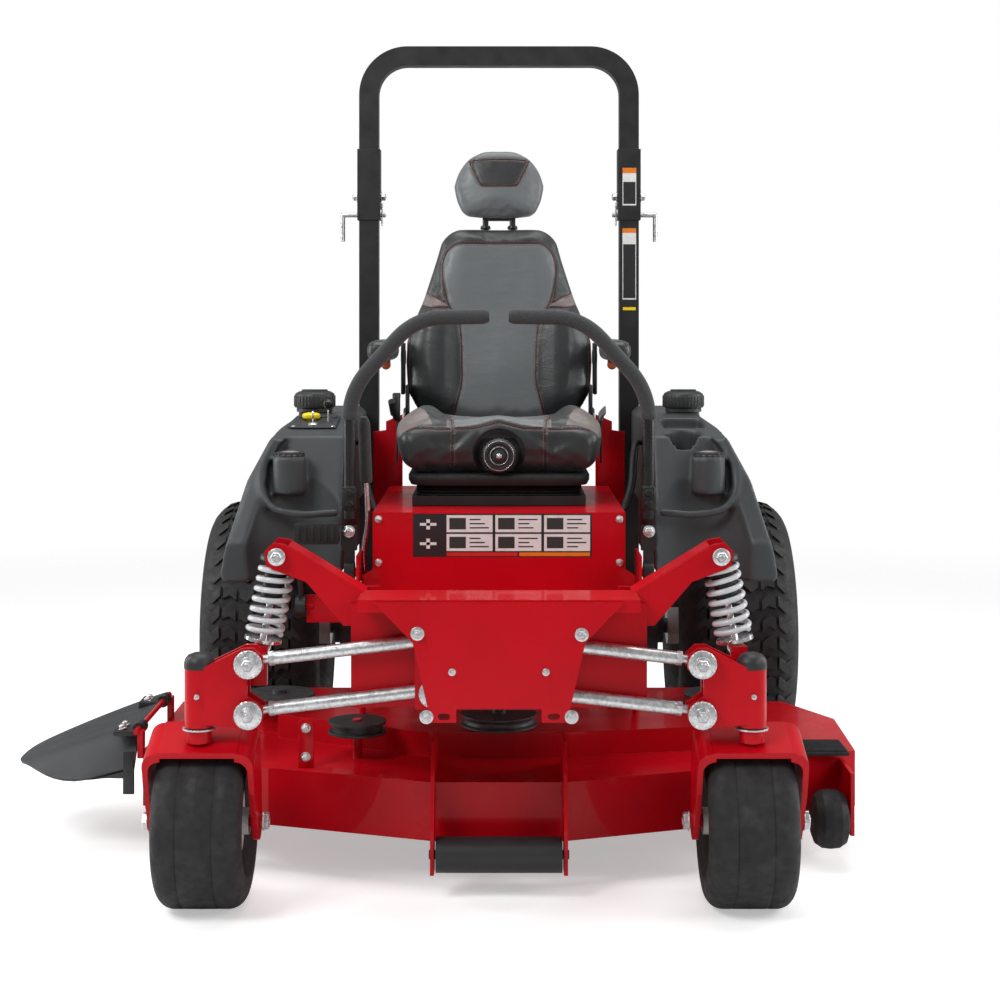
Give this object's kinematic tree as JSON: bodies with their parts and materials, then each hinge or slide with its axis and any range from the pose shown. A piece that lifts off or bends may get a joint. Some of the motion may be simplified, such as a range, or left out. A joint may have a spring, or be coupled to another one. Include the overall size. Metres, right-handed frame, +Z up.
{
  "type": "zero turn mower",
  "caption": "Ride-on zero turn mower with folding roll bar, suspended front casters, two drive levers, padded seat and a wide side discharge deck.",
  "frame": {"origin": "middle of the machine's footprint at ground level, with the roll bar up and the chute down", "axes": "+X towards the operator's left, +Y rearward, +Z up"},
  "size_m": [1.8524, 1.995, 1.866],
  "materials": {
    "paint_red": "gloss",
    "powder_black": "satin",
    "tank_plastic": "satin",
    "black_plastic": "satin",
    "yellow_plastic": "gloss",
    "zinc": "satin",
    "seat_vinyl": "satin",
    "engine_metal": "satin",
    "rubber_black": "satin",
    "tyre_rubber": "satin",
    "rim_paint": "gloss",
    "motor_metal": "satin"
  },
  "bodies": {
    "frame": {"main_frame": "paint_red", "front_cover": "paint_red", "foot_pan": "paint_red", "right_tank": "tank_plastic", "left_tank": "tank_plastic", "rops_posts": "powder_black", "engine_block": "engine_metal", "engine_shroud": "black_plastic", "wheel_motors": "motor_metal", "seat_base": "powder_black"},
    "right_fuel_cap": {"right_fuel_cap": "black_plastic"},
    "right_lever_base": {"right_lever_base": "powder_black"},
    "right_lever": {"right_lever": "powder_black"},
    "right_rops_pin": {"right_rops_pin": "zinc"},
    "right_armrest": {"right_armrest": "seat_vinyl"},
    "left_fuel_cap": {"left_fuel_cap": "black_plastic"},
    "left_lever_base": {"left_lever_base": "powder_black"},
    "left_lever": {"left_lever": "powder_black"},
    "left_rops_pin": {"left_rops_pin": "zinc"},
    "left_armrest": {"left_armrest": "seat_vinyl"},
    "blade_knob": {"blade_knob": "yellow_plastic"},
    "throttle": {"throttle_lever": "black_plastic"},
    "brake_lever": {"brake_lever": "zinc"},
    "rops_hoop": {"rops_hoop": "powder_black"},
    "seat_carriage": {"seat_carriage": "powder_black"},
    "seat": {"seat_cushion": "seat_vinyl"},
    "seat_knob": {"seat_knob": "black_plastic"},
    "seat_back": {"seat_back": "seat_vinyl"},
    "headrest": {"headrest": "seat_vinyl"},
    "deck": {"deck_shell": "paint_red"},
    "lift_pedal": {"lift_pedal": "powder_black"},
    "middle_spindle": {"middle_spindle": "motor_metal"},
    "right_spindle": {"right_spindle": "motor_metal"},
    "left_spindle": {"left_spindle": "motor_metal"},
    "idler_pulley": {"idler_pulley": "powder_black"},
    "front_roller": {"front_roller": "rubber_black"},
    "deck_wheel": {"deck_wheel": "rubber_black"},
    "chute_deflector": {"chute_deflector": "rubber_black"},
    "right_lower_link": {"right_lower_link": "zinc"},
    "right_upright": {"right_upright": "paint_red"},
    "right_upper_link": {"right_upper_link": "zinc"},
    "right_fork": {"right_fork": "paint_red"},
    "right_caster_wheel": {"right_caster_tyre": "tyre_rubber", "right_caster_rim": "rim_paint"},
    "right_damper": {"right_damper": "powder_black", "right_spring": "zinc"},
    "right_damper_rod": {"right_damper_rod": "zinc"},
    "right_rear_wheel": {"right_rear_tyre": "tyre_rubber", "right_rear_rim": "rim_paint"},
    "left_lower_link": {"left_lower_link": "zinc"},
    "left_upright": {"left_upright": "paint_red"},
    "left_upper_link": {"left_upper_link": "zinc"},
    "left_fork": {"left_fork": "paint_red"},
    "left_caster_wheel": {"left_caster_tyre": "tyre_rubber", "left_caster_rim": "rim_paint"},
    "left_damper": {"left_damper": "powder_black", "left_spring": "zinc"},
    "left_damper_rod": {"left_damper_rod": "zinc"},
    "left_rear_wheel": {"left_rear_tyre": "tyre_rubber", "left_rear_rim": "rim_paint"}
  },
  "joints": [
    {"name": "right_cap_turn", "type": "hinge", "parent": "frame", "child": "right_fuel_cap", "pos_m": [-0.29685, -0.0325, 0.94], "axis": [0, 0, 1], "continuous": true},
    {"name": "right_drive", "type": "hinge", "parent": "frame", "child": "right_lever_base", "pos_m": [-0.17885, -0.4575, 0.6], "axis": [1, 0, 0], "range_deg": [-12, 12], "stiffness_Nm_per_rad": 200},
    {"name": "right_lever_swing", "type": "hinge", "parent": "right_lever_base", "child": "right_lever", "pos_m": [-0.17885, -0.4575, 0.69], "axis": [0, -1, 0], "range_deg": [0, 35]},
    {"name": "right_pin_pull", "type": "slide", "parent": "frame", "child": "right_rops_pin", "axis": [-1, 0, 0], "range_m": [0, 0.075]},
    {"name": "left_cap_turn", "type": "hinge", "parent": "frame", "child": "left_fuel_cap", "pos_m": [0.58515, -0.0325, 0.94], "axis": [0, 0, 1], "continuous": true},
    {"name": "left_drive", "type": "hinge", "parent": "frame", "child": "left_lever_base", "pos_m": [0.46715, -0.4575, 0.6], "axis": [1, 0, 0], "range_deg": [-12, 12], "stiffness_Nm_per_rad": 200},
    {"name": "left_lever_swing", "type": "hinge", "parent": "left_lever_base", "child": "left_lever", "pos_m": [0.46715, -0.4575, 0.69], "axis": [0, 1, 0], "range_deg": [0, 35]},
    {"name": "left_pin_pull", "type": "slide", "parent": "frame", "child": "left_rops_pin", "axis": [1, 0, 0], "range_m": [0, 0.075]},
    {"name": "blade_knob_pull", "type": "slide", "parent": "frame", "child": "blade_knob", "axis": [0, 0, 1], "range_m": [0, 0.012], "stiffness_N_per_m": 2000},
    {"name": "throttle_turn", "type": "hinge", "parent": "frame", "child": "throttle", "pos_m": [-0.25085, -0.1825, 0.85], "axis": [1, 0, 0], "range_deg": [-25, 25]},
    {"name": "brake_pull", "type": "hinge", "parent": "frame", "child": "brake_lever", "pos_m": [-0.14835, -0.3975, 0.56], "axis": [-1, 0, 0], "range_deg": [0, 22]},
    {"name": "rops_fold", "type": "hinge", "parent": "frame", "child": "rops_hoop", "pos_m": [0.14415, 0.4375, 1.47], "axis": [-1, 0, 0], "range_deg": [0, 100]},
    {"name": "seat_suspension", "type": "slide", "parent": "frame", "child": "seat_carriage", "axis": [0, 0, 1], "range_m": [-0.022, 0.022], "stiffness_N_per_m": 20000, "springref_m": 0.02},
    {"name": "seat_slide", "type": "slide", "parent": "seat_carriage", "child": "seat", "axis": [0, 1, 0], "range_m": [-0.05, 0.05]},
    {"name": "seat_knob_turn", "type": "hinge", "parent": "seat", "child": "seat_knob", "pos_m": [0.14415, -0.3255, 0.842], "axis": [0, 1, 0], "continuous": true},
    {"name": "recline", "type": "hinge", "parent": "seat", "child": "seat_back", "pos_m": [0.14415, 0.1175, 0.905], "axis": [-1, 0, 0], "range_deg": [-4, 18]},
    {"name": "headrest_height", "type": "slide", "parent": "seat_back", "child": "headrest", "axis": [0, 0.1564, 0.9877], "range_m": [0, 0.06]},
    {"name": "right_armrest_lift", "type": "hinge", "parent": "seat_back", "child": "right_armrest", "pos_m": [-0.13485, 0.1475, 1.052], "axis": [-1, 0, 0], "range_deg": [0, 85]},
    {"name": "left_armrest_lift", "type": "hinge", "parent": "seat_back", "child": "left_armrest", "pos_m": [0.42315, 0.1475, 1.052], "axis": [-1, 0, 0], "range_deg": [0, 85]},
    {"name": "deck_lift", "type": "slide", "parent": "frame", "child": "deck", "axis": [0, 0, 1], "range_m": [-0.03, 0.05], "stiffness_N_per_m": 60000, "springref_m": 0.02},
    {"name": "pedal_push", "type": "hinge", "parent": "frame", "child": "lift_pedal", "pos_m": [-0.28685, -0.4145, 0.52], "axis": [1, 0, 0], "range_deg": [-7.5, 12.3]},
    {"name": "middle_blade_spin", "type": "hinge", "parent": "deck", "child": "middle_spindle", "pos_m": [0.14415, -0.4475, 0.2], "axis": [0, 0, 1], "continuous": true},
    {"name": "right_blade_spin", "type": "hinge", "parent": "deck", "child": "right_spindle", "pos_m": [-0.35785, -0.2355, 0.2], "axis": [0, 0, 1], "continuous": true},
    {"name": "left_blade_spin", "type": "hinge", "parent": "deck", "child": "left_spindle", "pos_m": [0.64615, -0.2355, 0.2], "axis": [0, 0, 1], "continuous": true},
    {"name": "idler_spin", "type": "hinge", "parent": "deck", "child": "idler_pulley", "pos_m": [-0.15785, -0.5125, 0.28], "axis": [0, 0, 1], "continuous": true},
    {"name": "roller_spin", "type": "hinge", "parent": "deck", "child": "front_roller", "pos_m": [0.14415, -0.7925, 0.087], "axis": [1, 0, 0], "continuous": true},
    {"name": "deck_wheel_spin", "type": "hinge", "parent": "deck", "child": "deck_wheel", "pos_m": [0.83815, -0.5725, 0.098], "axis": [1, 0, 0], "continuous": true},
    {"name": "chute_swing", "type": "hinge", "parent": "deck", "child": "chute_deflector", "pos_m": [-0.63385, -0.2945, 0.262], "axis": [0, 1, 0], "range_deg": [0, 75]},
    {"name": "right_suspension", "type": "hinge", "parent": "frame", "child": "right_lower_link", "pos_m": [0.01915, -0.9105, 0.438], "axis": [0, 1, 0], "range_deg": [-5, 5], "stiffness_Nm_per_rad": 3500, "springref_deg": -8.59},
    {"name": "right_upright_turn", "type": "hinge", "parent": "right_lower_link", "child": "right_upright", "pos_m": [-0.33135, -0.9105, 0.397], "axis": [0, 1, 0], "range_deg": [-5.1, 5.1]},
    {"name": "right_upper_link_turn", "type": "hinge", "parent": "frame", "child": "right_upper_link", "pos_m": [0.01915, -0.9105, 0.534], "axis": [0, 1, 0], "range_deg": [-5.1, 5.1]},
    {"name": "right_caster_swivel", "type": "hinge", "parent": "right_upright", "child": "right_fork", "pos_m": [-0.42985, -0.9125, 0.4], "axis": [0, 0, 1], "continuous": true},
    {"name": "right_caster_roll", "type": "hinge", "parent": "right_fork", "child": "right_caster_wheel", "pos_m": [-0.42985, -0.8325, 0.165], "axis": [1, 0, 0], "continuous": true},
    {"name": "right_damper_turn", "type": "hinge", "parent": "frame", "child": "right_damper", "pos_m": [-0.28385, -0.8425, 0.69], "axis": [0, 1, 0], "range_deg": [-3.2, 3.2]},
    {"name": "right_damper_stroke", "type": "slide", "parent": "right_damper", "child": "right_damper_rod", "axis": [-0.191, 0, -0.9816], "range_m": [-0.031, 0.031], "deforming": ["right_spring"]},
    {"name": "right_rear_roll", "type": "hinge", "parent": "frame", "child": "right_rear_wheel", "pos_m": [-0.46285, 0.4675, 0.33], "axis": [1, 0, 0], "continuous": true},
    {"name": "left_suspension", "type": "hinge", "parent": "frame", "child": "left_lower_link", "pos_m": [0.17915, -0.9105, 0.438], "axis": [0, -1, 0], "range_deg": [-5, 5], "stiffness_Nm_per_rad": 3500, "springref_deg": -8.59},
    {"name": "left_upright_turn", "type": "hinge", "parent": "left_lower_link", "child": "left_upright", "pos_m": [0.52965, -0.9105, 0.397], "axis": [0, -1, 0], "range_deg": [-5.1, 5.1]},
    {"name": "left_upper_link_turn", "type": "hinge", "parent": "frame", "child": "left_upper_link", "pos_m": [0.17915, -0.9105, 0.534], "axis": [0, -1, 0], "range_deg": [-5.1, 5.1]},
    {"name": "left_caster_swivel", "type": "hinge", "parent": "left_upright", "child": "left_fork", "pos_m": [0.62815, -0.9125, 0.4], "axis": [0, 0, 1], "continuous": true},
    {"name": "left_caster_roll", "type": "hinge", "parent": "left_fork", "child": "left_caster_wheel", "pos_m": [0.62815, -0.8325, 0.165], "axis": [1, 0, 0], "continuous": true},
    {"name": "left_damper_turn", "type": "hinge", "parent": "frame", "child": "left_damper", "pos_m": [0.57215, -0.8425, 0.69], "axis": [0, -1, 0], "range_deg": [-3.2, 3.2]},
    {"name": "left_damper_stroke", "type": "slide", "parent": "left_damper", "child": "left_damper_rod", "axis": [0.191, 0, -0.9816], "range_m": [-0.031, 0.031], "deforming": ["left_spring"]},
    {"name": "left_rear_roll", "type": "hinge", "parent": "frame", "child": "left_rear_wheel", "pos_m": [0.75115, 0.4675, 0.33], "axis": [1, 0, 0], "continuous": true}
  ],
  "couplings": [
    {"joint": "pedal_push", "follows": "deck_lift", "rad_per_m": 4.18},
    {"joint": "right_blade_spin", "follows": "middle_blade_spin", "ratio": 1},
    {"joint": "left_blade_spin", "follows": "middle_blade_spin", "ratio": 1},
    {"joint": "idler_spin", "follows": "middle_blade_spin", "ratio": -1.5},
    {"joint": "right_upright_turn", "follows": "right_suspension", "ratio": -1},
    {"joint": "right_upper_link_turn", "follows": "right_suspension", "ratio": 1},
    {"joint": "right_damper_turn", "follows": "right_suspension", "ratio": 0.57},
    {"joint": "right_damper_stroke", "follows": "right_suspension", "m_per_rad": -0.33614},
    {"joint": "left_upright_turn", "follows": "left_suspension", "ratio": -1},
    {"joint": "left_upper_link_turn", "follows": "left_suspension", "ratio": 1},
    {"joint": "left_damper_turn", "follows": "left_suspension", "ratio": 0.57},
    {"joint": "left_damper_stroke", "follows": "left_suspension", "m_per_rad": -0.33614}
  ]
}
